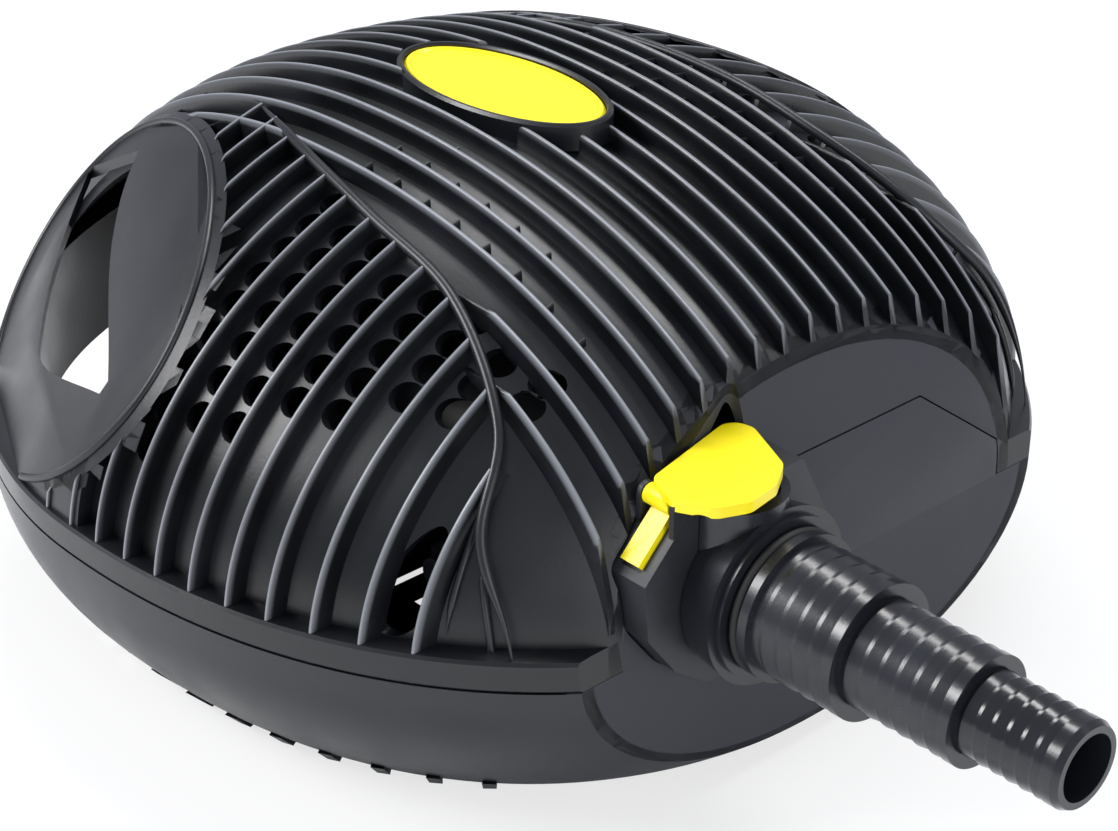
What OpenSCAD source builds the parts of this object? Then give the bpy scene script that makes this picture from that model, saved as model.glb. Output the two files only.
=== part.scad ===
/* [Body shape] */
// Height of the widest level, where cage and base meet
seam_z = 56; // [54:0.5:58]
// From the widest station to the front end of the outline
front_reach = 185; // [180:1:190]
// From the widest station to the rear end of the outline
rear_reach = 160; // [155:1:165]
// Station of the widest section
widest_x = -31; // [-34:0.5:-28]
// Half width on the side of the outlet
near_half = 158.5; // [155:0.5:162]
// Half width on the other side
far_half = 170; // [166:0.5:172]
// Height of the crown above the widest level
crown = 112; // [108:0.5:116]
// Depth of the full bowl below the widest level, most of it cut off by the floor
bowl_depth = 95; // [90:1:100]
// Roundness of the outline in its four quarters, 2 being an ellipse
near_power = 2.2; // [2:0.05:2.4]
far_power = 2.05; // [2:0.05:2.4]
rear_power = 2; // [1.9:0.05:2.2]
// Roundness of the sections over the near side, the far side and the middle
near_round = 1.93; // [1.85:0.01:2.1]
far_round = 2.24; // [2:0.01:2.3]
mid_round = 2.08; // [1.95:0.01:2.2]
// Where the flat front face meets the ground
face_x = 127.7; // [125:0.1:130]
// Lean of the front face
face_lean = 4.17; // [3:0.01:5]

/* [Cage] */
// Depth of the grooves between the ribs
groove = 6; // [5:0.25:7]
// Wall of the mouldings
wall = 2.6; // [2.4:0.1:3]
// Spacing of the lengthwise ridges
ridge_pitch = 11.1; // [11:0.05:11.2]
// Thickness of a lengthwise ridge
ridge_thick = 2.2; // [1.8:0.1:2.6]
// Spacing of the crosswise ribs
rib_pitch = 13.2; // [13:0.05:13.4]
// Thickness of a crosswise rib
rib_thick = 1.8; // [1.6:0.1:2.2]
// Station of the first crosswise rib in front of the grip
rib_start = -16.3; // [-17:0.1:-16]
// Height of the plain band above the seam
band = 9.6; // [9:0.1:10]
// Width of the strainer holes
hole_d = 9; // [8:0.25:9.5]
// Distance of the strainer holes along the flank
hole_step = 13; // [12:0.1:14]
// Distance of the grip cut from the frame's zero point
grip_cut = 170.1; // [168:0.1:172]
// Slope of the grip cut's outward normal above the horizontal
grip_rise = 39.6; // [38:0.1:41]
// Heading of the grip cut's outward normal off the rear
grip_heading = 65.3; // [63:0.1:67]
// Lean of the brow above the front face
brow_lean = 14; // [13:0.1:15]
// Length and width of the badge
badge_length = 82; // [80:0.5:84]
badge_width = 40; // [38:0.5:42]
// Thickness of the badge
badge_thick = 3; // [2.5:0.1:3.5]

/* [Outlet] */
// Offset of the outlet axis from the middle plane
outlet_y = -41.6; // [-42:0.1:-41]
// Height of the outlet axis
outlet_z = 73.7; // [73:0.1:74.5]
// Size of the hexagonal collar across its corners
collar_size = 72; // [70:0.5:74]
// Length of the collar
collar_length = 14.5; // [14:0.5:15]
// Outside and bore of the pump's outlet pipe
pipe_od = 44; // [43:0.5:45]
pipe_bore = 37; // [36:0.5:38]
// Station where the hose tail starts
tail_x = 150; // [149:0.5:151]
// Hose sizes of the three steps of the tail
hose_large = 40; // [40:0.5:40.5]
hose_middle = 32; // [32:0.5:32.5]
hose_small = 25; // [25:0.5:25.5]
// Lengths of the three steps
large_length = 31.3; // [30:0.1:32]
middle_length = 35.8; // [34:0.1:37]
small_length = 31.7; // [30:0.1:33]
// Bore of the small end
tip_bore = 19; // [18:0.5:20]
// Height of a barb on the steps
barb = 0.6; // [0.5:0.05:0.7]
// Diameter of the post below the lever
post_d = 31; // [30:0.5:32]
// Height of the lever pad above the ground
lever_z = 110; // [109:0.5:111]
// Thickness of the lever pad
lever_thick = 3.4; // [3:0.1:3.6]

/* [Motor and pump] */
// Station and height of the motor axis, which lies across the body
motor_x = -30; // [-31:0.5:-29]
motor_z = 58; // [57.5:0.25:58.5]
// Radius of the pump chamber outside
chamber_r = 41; // [40.5:0.25:41.5]
// Radius of the motor can
can_r = 41; // [40.5:0.25:41]
// Length of the motor can
can_length = 96; // [94:1:98]
// Radius of the impeller
impeller_r = 31; // [30:0.5:32]
// Number of impeller blades
blades = 6; // [5:1:7]
// Radius of the fixed shaft
shaft_r = 4; // [4:0.1:4.2]
// Radius of the rotor
rotor_r = 17.4; // [17:0.1:17.5]
// Radial running clearance of the rotor on its shaft
running_gap = 0.05; // [0.03:0.01:0.08]
// Distance kept between neighbouring pieces
gap = 0.3; // [0.25:0.05:0.35]

/* [Hidden] */
over = 1;
fine = 64;
cols = 48;
fine_cols = 40;
fine_rows = 8;
skin_cols = 28;
skin_rows = 6;
half = 0.5;

rear_x = widest_x - rear_reach;
tip_x = tail_x + large_length + middle_length + small_length;
shift_x = -(tip_x + rear_x) / 2;
shift_y = -(far_half - near_half) / 2;
length_all = tip_x - rear_x;
lean = tan(face_lean);
crown_z = seam_z + crown;

function plan_n(t) = cos(t) < 0 ? rear_power : sin(t) < 0 ? near_power : far_power;
function plan_k(t) = let (n = plan_n(t))
  pow(pow(abs(cos(t)), n) + pow(abs(sin(t)), n), -1 / n);
function plan_a(t, inset) = (cos(t) > 0 ? front_reach : rear_reach) - inset;
function plan_b(t, inset) = (sin(t) < 0 ? near_half : far_half) - inset;
function plan_point(t, inset, r) = [
  widest_x + plan_a(t, inset) * cos(t) * plan_k(t) * r,
  plan_b(t, inset) * sin(t) * plan_k(t) * r
];
function round_of(t) = mid_round + pow(sin(t), 2) * ((sin(t) < 0 ? near_round : far_round) - mid_round);
function dome_point(t, v, inset) = let (m = round_of(t), p = plan_point(t, inset, pow(cos(v), 2 / m)))
  [p[0], p[1], seam_z + (crown - inset) * pow(sin(v), 2 / m)];
function turn_of(x, y) = atan2(y / (y < 0 ? near_half : far_half),
  (x - widest_x) / (x > widest_x ? front_reach : rear_reach));
function reach_of(x, y, inset) = let (t = turn_of(x, y), n = plan_n(t))
  pow(pow(abs(x - widest_x) / plan_a(t, inset), n) + pow(abs(y) / plan_b(t, inset), n), 1 / n);
function dome_z(x, y, inset) = let (m = round_of(turn_of(x, y)), r = min(reach_of(x, y, inset), 1))
  seam_z + (crown - inset) * pow(1 - pow(r, m), 1 / m);

function strip(a, b, n) = [for (j = [0 : n - 1]) let (k = (j + 1) % n) each [
  [a + j, b + j, b + k], [a + j, b + k, a + k]]];

// Domed solid over the outline: outline and crown shrink by the inset
module dome(inset, drop, cols = fine_cols, rows = fine_rows) {
  rings = concat([[for (j = [0 : cols - 1]) let (p = plan_point(j * 360 / cols, inset, 1))
      [p[0], p[1], seam_z - drop]]],
    [for (i = [0 : rows - 1]) [for (j = [0 : cols - 1]) dome_point(j * 360 / cols, i * 90 / rows, inset)]]);
  top = len(rings) * cols;
  polyhedron(
    points = concat([for (ring = rings) each ring], [[widest_x, 0, seam_z + crown - inset]]),
    faces = concat([[for (j = [0 : cols - 1]) j]],
      [for (i = [0 : len(rings) - 2]) each strip(i * cols, (i + 1) * cols, cols)],
      [for (j = [0 : cols - 1]) [top - cols + j, top, top - cols + (j + 1) % cols]]));
}

// Bowl under the outline, from a low level up to a high level
module bowl(inset, low, high) {
  steps = 6;
  levels = concat([for (i = [0 : steps]) low + (seam_z - low) * i / steps], high > seam_z ? [high] : []);
  rings = [for (z = levels) let (r = sqrt(max(1 - pow(max(seam_z - z, 0) / bowl_depth, 2), 0)))
    [for (j = [0 : cols - 1]) let (p = plan_point(j * 360 / cols, inset, r)) [p[0], p[1], z]]];
  last = (len(rings) - 1) * cols;
  polyhedron(
    points = [for (ring = rings) each ring],
    faces = concat([[for (j = [0 : cols - 1]) j]],
      [for (i = [0 : len(rings) - 2]) each strip(i * cols, (i + 1) * cols, cols)],
      [[for (j = [cols - 1 : -1 : 0]) last + j]]));
}

// A point of the brow, which leans back more than the face below it
brow_back = 9.7;
brow_up = 38;
// Everything in front of the leaning front face, moved back by a depth
module before_face(depth) {
  translate([face_x - depth, 0, 0]) rotate([0, -face_lean, 0])
    translate([0, -length_all, -length_all]) cube([length_all, 2 * length_all, 2 * length_all]);
  translate([face_x - brow_back - depth, 0, seam_z + brow_up]) rotate([0, -brow_lean, 0])
    translate([0, -length_all, -length_all]) cube([length_all, 2 * length_all, 2 * length_all]);
}

// Everything outside the slanting grip cut, moved inwards by a depth
module beyond_grip(side, depth) {
  rotate([0, 0, side * (180 - grip_heading)]) rotate([0, -grip_rise, 0])
    translate([grip_cut - depth, -length_all, -length_all])
      cube([length_all, 2 * length_all, 2 * length_all]);
}

// Plan of the finger gap as shares of the near half width
slot_in_shares = [[-0.26, -0.84], [-0.62, -0.58], [-0.745, -0.38], [-0.78, 0]];
slot_out_shares = [[-0.265, -0.858], [-0.57, -0.795], [-0.70, -0.72], [-0.82, -0.60], [-0.92, -0.44], [-1.02, -0.2], [-1.04, 0]];
function sized(list, side) = [for (p = list) [p[0] * near_half, -side * p[1] * near_half]];
function flip(list) = [for (i = [len(list) - 1 : -1 : 0]) list[i]];

module gap_plan(side) {
  polygon(concat(sized(slot_in_shares, side), flip(sized(slot_out_shares, side))));
}
hood_half = 0.44 * near_half;
module gap_prism(low, high) {
  for (side = [-1, 1])
    translate([0, 0, low]) linear_extrude(high - low) difference() {
      gap_plan(side);
      translate([-2 * near_half, -hood_half]) square([2 * near_half, 2 * hood_half]);
    }
}
module hood_prism(low, high) {
  for (side = [-1, 1])
    translate([0, 0, low]) linear_extrude(high - low) gap_plan(side);
}
// The part of the gap under the rear hood
module hood_recess(low, high) {
  for (side = [-1, 1])
    translate([0, 0, low]) linear_extrude(high - low) intersection() {
      gap_plan(side);
      translate([-2 * near_half, -hood_half]) square([2 * near_half, 2 * hood_half]);
    }
}
// Region outside the finger gap, filled by the grip bar
module bar_plan(side) {
  wide = 2 * near_half;
  end = -0.17 * near_half;
  polygon(concat([[end, side * 0.88 * near_half]],
    sized(slot_out_shares, side), [[-wide, 0], [-wide, side * wide], [end, side * wide]]));
}
module inner_wall(low, high) {
  for (side = [-1, 1])
    translate([0, 0, low]) linear_extrude(high - low)
      polygon(concat([for (p = sized(slot_in_shares, side)) [p[0] - over, p[1] + side * over]],
        flip([for (p = sized(slot_in_shares, side)) [p[0] + wall, p[1] - side * wall * half]])));
}

// Line of the seam on the front face: heights and widths
bib_z = 93.5;
bib_kink_y = 46;
bib_far_y = 99;
bib_far_z = 53;
module bib_prism(grow) {
  translate([face_x / 2, 0, 0]) rotate([90, 0, 90]) linear_extrude(front_reach)
    polygon([[-far_half, seam_z - over - grow], [-far_half, bib_z + grow],
      [bib_kink_y + grow / 2, bib_z + grow], [bib_far_y + grow, bib_far_z + grow],
      [bib_far_y + grow, seam_z - over - grow - wall]]);
}

vine_shares = [[-0.48, -0.32], [-0.22, -0.40], [0.06, -0.455], [0.31, -0.48], [0.53, -0.565],
  [0.605, -0.67], [0.71, -0.68]];
vine_r = 2.4;
function vine_point(i, side) = let (x = vine_shares[i][0] * near_half, y = -side * vine_shares[i][1] * near_half)
  [x, y, dome_z(x, y, vine_r)];
module vine(side) {
  for (i = [0 : len(vine_shares) - 2])
    hull() {
      translate(vine_point(i, side)) sphere(vine_r, $fn = 4);
      translate(vine_point(i + 1, side)) sphere(vine_r, $fn = 4);
    }
}

lip_inset = 0.31 * groove;
rib_count = 9;
rear_ribs = 3;
// Height on the flank where the vine stands above a station
function vine_y(x, side) = side * (x < 0.4 * near_half ? 0.46 : 0.46 + (x / near_half - 0.4) * 0.75) * near_half;

ridge_steps = 11;
rib_steps = 6;
keyed = groove + 0.55 * wall;
// Half length of a lengthwise section at a distance from the middle plane
function long_half(y, front, inset) = let (n = front ? (y < 0 ? near_power : far_power) : rear_power)
  ((front ? front_reach : rear_reach) - inset)
    * pow(1 - pow(abs(y) / ((y < 0 ? near_half : far_half) - inset), n), 1 / n);
function long_point(y, t, inset) = let (x = widest_x + long_half(y, t < 90, inset) * cos(t))
  [x, max(dome_z(x, y, inset), seam_z)];
// Half width of a crosswise section at a station
function wide_half(x, side, inset) = let (f = x > widest_x,
    n = f ? (side < 0 ? near_power : far_power) : rear_power)
  ((side < 0 ? near_half : far_half) - inset)
    * pow(1 - pow(abs(x - widest_x) / ((f ? front_reach : rear_reach) - inset), n), 1 / n);
function wide_point(x, side, t, inset) = let (y = side * wide_half(x, side, inset) * cos(t))
  [y, max(dome_z(x, y, inset), seam_z)];

// Polyhedron from lines of points, each closed over its own foot on the seam level
module lofted(lines) {
  n = len(lines[0]);
  m = len(lines);
  polyhedron(
    points = [for (line = lines) each line],
    faces = concat(
      [for (i = [0 : m - 2], j = [0 : n - 2]) each [
        [i * n + j, (i + 1) * n + j, (i + 1) * n + j + 1], [i * n + j, (i + 1) * n + j + 1, i * n + j + 1]]],
      [[for (j = [0 : n - 1]) j]],
      [[for (j = [n - 1 : -1 : 0]) (m - 1) * n + j]],
      [concat([for (i = [m - 1 : -1 : 0]) i * n], [for (i = [0 : m - 1]) i * n + n - 1])]));
}

// Crown with its lengthwise ridges: each ridge adds four lines
crown_ridges = 6;
crown_half = crown_ridges * ridge_pitch;
ridge_end_x = face_x - 3 * groove;
front_steps = 2;
function end_turn(y) = acos((ridge_end_x + pow(abs(y) / crown_half, 2) * groove - widest_x) / long_half(y, true, 0));
function long_turns(y) = let (e = end_turn(y)) concat(
  [for (j = [0 : ridge_steps]) 180 + (e - 180) * j / ridge_steps],
  [for (j = [0 : front_steps]) (e - 0.15) * (1 - j / front_steps)]);
function long_line(y, full) = let (list = long_turns(y)) [for (j = [0 : len(list) - 1])
  let (p = long_point(y, list[j], full && j <= ridge_steps ? 0 : groove))
  [p[0], y, j == 0 || j == len(list) - 1 ? seam_z : p[1]]];
module crown_block() {
  h = ridge_thick / 2;
  lofted(concat([long_line(-crown_half, false)],
    [for (i = [-crown_ridges : crown_ridges - 1]) let (y = (i + half) * ridge_pitch)
      each [long_line(y - h, false), long_line(y - h, true), long_line(y + h, true), long_line(y + h, false)]],
    [long_line(crown_half, false)]));
}

// Flank with its crosswise ribs, which stop at the vine
function wide_line(x, side, full) = let (
    a = acos(crown_half / wide_half(x, side, groove)),
    top = acos(min(max(vine_y(x, 1), crown_half) / wide_half(x, side, 0), 1)))
  concat([for (j = [0 : rib_steps])
    let (t = j * a / rib_steps, inset = full && t < top && j < rib_steps ? 0 : groove,
      p = wide_point(x, side, t, inset))
    [x, abs(p[0]) < crown_half ? side * crown_half : p[0], j == 0 ? seam_z : p[1]]],
    [[x, side * crown_half, seam_z]]);
module flank_block(side) {
  h = rib_thick / 2;
  low = widest_x - (rear_reach - groove) * pow(1 - pow((crown_half + 4) / (near_half - groove), 2), half);
  xs = [for (i = [-rear_ribs : rib_count - 1]) rib_start + i * rib_pitch];
  lines = concat([for (k = [0 : 3]) wide_line(low + k * (xs[0] - 6 - low) / 3, side, false)],
    [for (x = xs) each [wide_line(x - h, side, false), wide_line(x - h, side, true),
      wide_line(x + h, side, true), wide_line(x + h, side, false)]],
    [for (k = [1 : 3]) wide_line(xs[len(xs) - 1] + k * 14, side, false)]);
  if (side < 0) lofted(flip(lines));
  else lofted(lines);
}
// The two outer ridges, which start at the vine
module side_ridges() {
  difference() {
    for (k = [6, 7], side = [-1, 1])
      let (y = side * (k + half) * ridge_pitch, from = k == 6 ? 66 : 54,
        e = acos((ridge_end_x + groove - widest_x) / long_half(y, true, 0)))
      translate([0, y + ridge_thick / 2, 0]) rotate([90, 0, 0]) linear_extrude(ridge_thick)
        polygon(concat(
          [for (j = [0 : 3]) long_point(y, e + j * (from - e) / 3, 0)],
          [for (j = [3 : -1 : 0]) long_point(y, e + j * (from - e) / 3, keyed)]));
  }
}
module outline_band(inset, low, high) {
  translate([0, 0, low]) linear_extrude(high - low)
    polygon([for (j = [0 : cols - 1]) plan_point(j * 360 / cols, inset, 1)]);
}

// Strainer holes, staggered from bay to bay and aimed at the widest level's middle
bays = 5;
module flank_holes() {
  for (k = [0 : bays], side = [-1, 1])
    let (low = 15 + 3.2 * k, high = 54 - 1.2 * k, step = hole_step / near_half * 57.3,
      start = low + (k % 2) * step / 2)
    for (a = [start : step : high])
      translate([rib_start + (k + half) * rib_pitch, 0, seam_z]) rotate([side * (90 - a), 0, 0])
        cylinder(h = 2 * crown, d = hole_d, $fn = 8);
}

leaf_x = 81;
leaf_z = 81;
leaf_long = 30;
leaf_wide = 13;
module leaf(side) {
  translate([leaf_x, 0, leaf_z]) rotate([-side * 90, 0, 0]) rotate([0, 0, -8])
    linear_extrude(2 * near_half) scale([leaf_wide / leaf_long, 1]) circle(d = leaf_long, $fn = 12);
}

badge_x = -16;
oval_sides = 36;
module badge_oval(grow, tall) {
  linear_extrude(tall)
    polygon([for (i = [0 : oval_sides - 1]) let (t = (i + half) * 360 / oval_sides)
      [(badge_length / 2 + grow) * cos(t), (badge_width / 2 + grow) * sin(t)]]);
}
badge_z = crown_z - 2 * badge_thick;
badge_tilt = 1.2;

module cage_cut(depth) {
  before_face(depth);
  for (side = [-1, 1]) beyond_grip(side, depth);
}

module top_cage() {
  color([0.2, 0.2, 0.22])
  difference() {
    union() {
      difference() {
        union() {
          crown_block();
          for (side = [-1, 1]) flank_block(side);
          side_ridges();
          for (side = [-1, 1]) vine(side);
          outline_band(0, seam_z, seam_z + band);
          translate([badge_x, 0, seam_z]) badge_oval(wall, badge_z + badge_thick * 2 / 3 - seam_z);
        }
        dome(groove + wall, over, skin_cols, skin_rows);
        cage_cut(0);
      }
      // Front face above the bib
      intersection() {
        dome(groove, 0);
        difference() {
          before_face(wall);
          before_face(0);
          bib_prism(gap);
        }
      }
      // Grip panels and bars
      intersection() {
        dome(lip_inset, 0, skin_cols, skin_rows);
        for (side = [-1, 1]) difference() {
          beyond_grip(side, wall);
          beyond_grip(side, 0);
          for (other = [-side]) beyond_grip(other, 0);
        }
      }
      intersection() {
        difference() {
          dome(lip_inset, 0, skin_cols, skin_rows);
          cage_cut(0);
        }
        union() {
          inner_wall(seam_z, 2 * crown_z);
          for (side = [-1, 1])
            translate([0, 0, seam_z]) linear_extrude(crown * 0.36) bar_plan(side);
        }
      }
    }
    gap_prism(seam_z - over, seam_z + crown);
    hood_recess(seam_z - over, seam_z + wall);
    flank_holes();
    for (side = [-1, 1]) leaf(side);
    translate([badge_x, 0, badge_z]) badge_oval(gap, 2 * crown);
    along_outlet(collar_x - collar_size) linear_extrude(length_all) collar_plan(4 * gap);
    post_place() translate([0, 0, post_top - over]) linear_extrude(crown) offset(delta = over) pad_plan();
    translate([-length_all, -length_all, 0]) cube([2 * length_all, 2 * length_all, seam_z + gap / 2]);
  }
}

tooth = 7;
teeth = 9;
floor_z = 3;
window_x = 84;
window_y = 58;
module base_shell() {
  color([0.24, 0.24, 0.26])
  difference() {
    union() {
      difference() {
        bowl(0, floor_z * half, seam_z);
        bowl(wall, floor_z * half + wall, seam_z + over);
        before_face(0);
      }
      intersection() {
        bowl(0, floor_z * half, seam_z);
        difference() {
          before_face(wall);
          before_face(0);
        }
      }
      intersection() {
        dome(groove + wall + gap, 0, skin_cols, skin_rows);
        difference() {
          before_face(wall);
          before_face(0);
        }
        bib_prism(0);
      }
      intersection() {
        bowl(0, floor_z * half, seam_z);
        inner_wall(0, seam_z);
      }
      // Teeth and foot under the near edge
      for (side = [-1, 1], i = [0 : teeth - 1])
        let (t = side * (58 + i * 8), p = plan_point(t, 0, 0.79))
        hull() {
          translate([p[0], p[1], tooth / 2]) cube([tooth / 2, tooth, tooth], center = true);
          translate([p[0], p[1] * 0.96, tooth]) cube([tooth / 2, tooth, tooth], center = true);
        }
    }
    // The grip overhangs the base at the rear
    hood_prism(-over, seam_z + over);
    translate([-length_all, -near_half * 0.61, -over])
      cube([length_all - near_half * 0.783, near_half * 1.22, 2 * seam_z]);
    translate([motor_x + 30 - window_x, -window_y, -over]) cube([2 * window_x, 2 * window_y, 4 * floor_z]);
    along_outlet(collar_x - collar_size) linear_extrude(length_all) collar_plan(4 * gap);
    translate([-length_all, -length_all, seam_z - gap / 2]) difference() {
      cube([2 * length_all, 2 * length_all, crown]);
      translate([length_all + face_x - 4 * wall, 0, -over]) cube([length_all, 2 * length_all, 2 * crown]);
    }
  }
}

// Straight pieces along the outlet axis and the motor axis
module along_outlet(x) { translate([x, outlet_y, outlet_z]) rotate([0, 90, 0]) children(); }
module along_motor(y) { translate([motor_x, y, motor_z]) rotate([-90, 0, 0]) children(); }
module torus(ring_r, wire_r) {
  rotate_extrude($fn = fine) translate([ring_r, 0]) circle(wire_r, $fn = fine);
}
module tube(h, outer, inner) {
  difference() {
    cylinder(h = h, r = outer, $fn = fine);
    translate([0, 0, -over]) cylinder(h = h + 2 * over, r = inner, $fn = fine);
  }
}

module badge() {
  color([0.95, 0.9, 0.1])
  translate([badge_x, 0, badge_z + gap]) badge_oval(0, badge_thick);
}

pipe_end = 108;
collar_x = 117;
collar_bore = pipe_od / 2 + gap;
post_x = 129;
post_offset = -3;
post_top = lever_z - 2 * lever_thick;
slot_w = 7;
// Outline of the collar across the outlet axis, sideways and upwards
collar_shares = [[-0.305, 0.41], [-0.53, 0.18], [-0.507, -0.07], [-0.36, -0.27], [-0.18, -0.40],
  [0.18, -0.40], [0.42, -0.20], [0.46, 0.11], [0.305, 0.41]];
module collar_plan(grow) {
  polygon([for (p = collar_shares) [-p[1] * (collar_size + grow), p[0] * (collar_size + grow)]]);
}
module post_place() { translate([post_x, outlet_y + post_offset, 0]) children(); }
module outlet_collar() {
  color([0.22, 0.22, 0.24])
  difference() {
    union() {
      along_outlet(collar_x) linear_extrude(collar_length) collar_plan(0);
      for (x = [pin_x, pin_x + boss_w + 2 + 2 * gap]) hinge_place(x) {
        cylinder(h = 2 - gap, r = hinge_r, $fn = fine);
        translate([0, -hinge_r, 0]) cube([14, 2 * hinge_r, 2 - gap]);
      }
    }
    hinge_place(0) cylinder(h = length_all, r = pin_r, $fn = fine);
    hinge_place(pin_x + 2 - gap) cylinder(h = boss_w + 3 * gap, r = hinge_r + gap, $fn = fine);
    along_outlet(collar_x - collar_size / 2) cylinder(h = collar_size * 2, r = collar_bore, $fn = fine);
    post_place() translate([0, 0, outlet_z]) cylinder(h = crown, d = post_d + 2 * gap, $fn = fine);
    // Slot for the lever's leg
    leg_place() translate([-slot_w / 2 - gap, -leg_low - over, -gap])
      cube([slot_w + 2 * gap, 2 * leg_low, crown]);
  }
}

// The lever: a pad with a bent leg, rocking about a pin
hinge_r = 3;
boss_w = 10;
pin_x = 117;
pin_y = -66.5;
pin_r = 1.5;
module hinge_place(x) {
  translate([x, pin_y, lever_z - lever_thick - 1]) rotate([0, 90, 0]) children();
}
leg_low = 14;
leg_depth = 3;
leg_angle = 45;
leg_rise = 35.2;
module leg_place() {
  translate([pin_x + 2 + boss_w / 2, outlet_y, outlet_z]) rotate([leg_angle, 0, 0])
    translate([0, 0, leg_rise]) children();
}
// Outline of the pad about the post's axis
pad_shares = [[-0.31, -0.70], [-0.60, 0.55], [-0.34, 0.60], [0.29, 0.32], [0.49, 0.02], [0.55, -0.35],
  [0.42, -0.65], [0.06, -0.84]];
module pad_plan() {
  offset(r = 2 * wall, $fn = 32) offset(delta = -2 * wall) polygon([for (p = pad_shares) p * post_d]);
}
module release_lever() {
  color([0.95, 0.9, 0.1])
  difference() {
    union() {
      post_place() translate([0, 0, lever_z - lever_thick]) linear_extrude(lever_thick) pad_plan();
      hinge_place(pin_x + 2) cylinder(h = boss_w, r = hinge_r, $fn = fine);
      leg_place() translate([-slot_w / 2, -leg_low, 0]) cube([slot_w, leg_low + 5, leg_depth]);
    }
    hinge_place(0) cylinder(h = length_all, r = pin_r + running_gap, $fn = fine);
    // Room for the collar's ears
    for (x = [pin_x - 3 * gap, pin_x + boss_w + 2 - gap / 2]) hinge_place(x)
      cylinder(h = x < pin_x ? 2 + 3.5 * gap : 2 + 4 * gap, r = hinge_r + 4 * gap, $fn = fine);
  }
}
module lever_pin() {
  color([0.75, 0.75, 0.77])
  hinge_place(pin_x + half / 2) cylinder(h = boss_w + 3.6, r = pin_r - running_gap / 2, $fn = fine);
}

neck_r = pipe_od / 2;
neck_wide = 26.8;
neck_long = tail_x - collar_x - collar_length - gap - 6;
module outlet_neck() {
  color([0.28, 0.28, 0.3])
  difference() {
    union() {
      along_outlet(pipe_end + gap) cylinder(h = tail_x - pipe_end - gap - 4, r = neck_r, $fn = fine);
      along_outlet(collar_x + collar_length + gap)
        cylinder(h = neck_long, r1 = neck_wide - 2, r2 = neck_wide, $fn = fine);
      along_outlet(tail_x - 7) cylinder(h = 3, r = neck_r + 2.4, $fn = fine);
      post_place() translate([0, 0, outlet_z]) cylinder(h = post_top - outlet_z, d = post_d, $fn = fine);
      along_outlet(pipe_end - 12) cylinder(h = 14, r = pipe_bore / 2 - gap, $fn = fine);
    }
    along_outlet(pipe_end - 20) cylinder(h = 80, r = pipe_bore / 2 - 3, $fn = fine);
    post_place() translate([0, 0, post_top - 2.4]) cylinder(h = crown, d = post_d - 2 * wall, $fn = fine);
    along_outlet(tail_x - 14) cylinder(h = 20, r = hose_large / 2 - 1.6 + 2 * running_gap, $fn = fine);
    along_outlet(pipe_end - 7) torus(pipe_bore / 2 - gap, 1.4);
  }
}
module spigot_seal() {
  color([0.05, 0.05, 0.05])
  along_outlet(pipe_end - 7) torus(pipe_bore / 2 - gap, 1.2);
}
module neck_seal() {
  color([0.05, 0.05, 0.05])
  along_outlet(tail_x - 2 - gap / 2) torus(hose_large / 2 + 0.4, 1.6);
}

module barbed(x, length, d, count) {
  along_outlet(x) cylinder(h = length, d = d - 2 * barb, $fn = fine);
  for (i = [0 : count - 1])
    along_outlet(x + length * (i + 0.3) / (count + 0.6))
      cylinder(h = length / (count + 0.6) * 0.7, d1 = d, d2 = d - 2 * barb, $fn = fine);
  along_outlet(x + length - 3.5) cylinder(h = 3.5, d = d, $fn = fine);
}
module hose_tail() {
  color([0.3, 0.3, 0.32])
  difference() {
    union() {
      along_outlet(tail_x - 13) cylinder(h = 14, r = hose_large / 2 - 1.6, $fn = fine);
      along_outlet(tail_x) cylinder(h = 3, r = hose_large / 2 + 2, $fn = fine);
      barbed(tail_x, large_length, hose_large, 5);
      barbed(tail_x + large_length, middle_length, hose_middle, 6);
      barbed(tail_x + large_length + middle_length, small_length - 2, hose_small, 6);
      along_outlet(tip_x - 2) cylinder(h = 2, d1 = hose_small, d2 = hose_small - 2, $fn = fine);
    }
    along_outlet(tail_x - 20) cylinder(h = 20 + large_length - 3, r = hose_large / 2 - 4, $fn = fine);
    along_outlet(tail_x + large_length - 3.01) cylinder(h = middle_length, r = hose_middle / 2 - 3, $fn = fine);
    along_outlet(tail_x) cylinder(h = 200, d = tip_bore, $fn = fine);
  }
}

chamber_near = outlet_y - pipe_od / 2;
chamber_far = outlet_y + pipe_od / 2;
ear_r = 6;
screw_r = 2;
ear_angles = [100, 190, 262, 328];
ear_ring = chamber_r + 3;
module ears(y, h) {
  for (a = ear_angles) translate([motor_x + ear_ring * cos(a), y, motor_z + ear_ring * sin(a)])
    rotate([-90, 0, 0]) cylinder(h = h, r = ear_r, $fn = fine);
}
module ear_holes(r) {
  for (a = ear_angles) translate([motor_x + ear_ring * cos(a), -length_all, motor_z + ear_ring * sin(a)])
    rotate([-90, 0, 0]) cylinder(h = 2 * length_all, r = r, $fn = fine);
}
module volute_housing() {
  color([0.13, 0.13, 0.14])
  difference() {
    union() {
      along_motor(chamber_near) cylinder(h = pipe_od, r = chamber_r, $fn = fine);
      along_outlet(motor_x) cylinder(h = pipe_end - motor_x, r = pipe_od / 2, $fn = fine);
      ears(chamber_near, pipe_od);
    }
    along_motor(chamber_near - over) cylinder(h = pipe_od + over - wall, r = chamber_r - 3.2, $fn = fine);
    along_outlet(motor_x) cylinder(h = 2 * pipe_end, r = pipe_bore / 2, $fn = fine);
    along_outlet(pipe_end - 7) torus(pipe_bore / 2 - gap, 1.2 + gap);
    along_motor(0 - length_all / 4) cylinder(h = length_all / 2, r = rotor_r + 2.4, $fn = fine);
    ear_holes(screw_r);
  }
}
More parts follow.
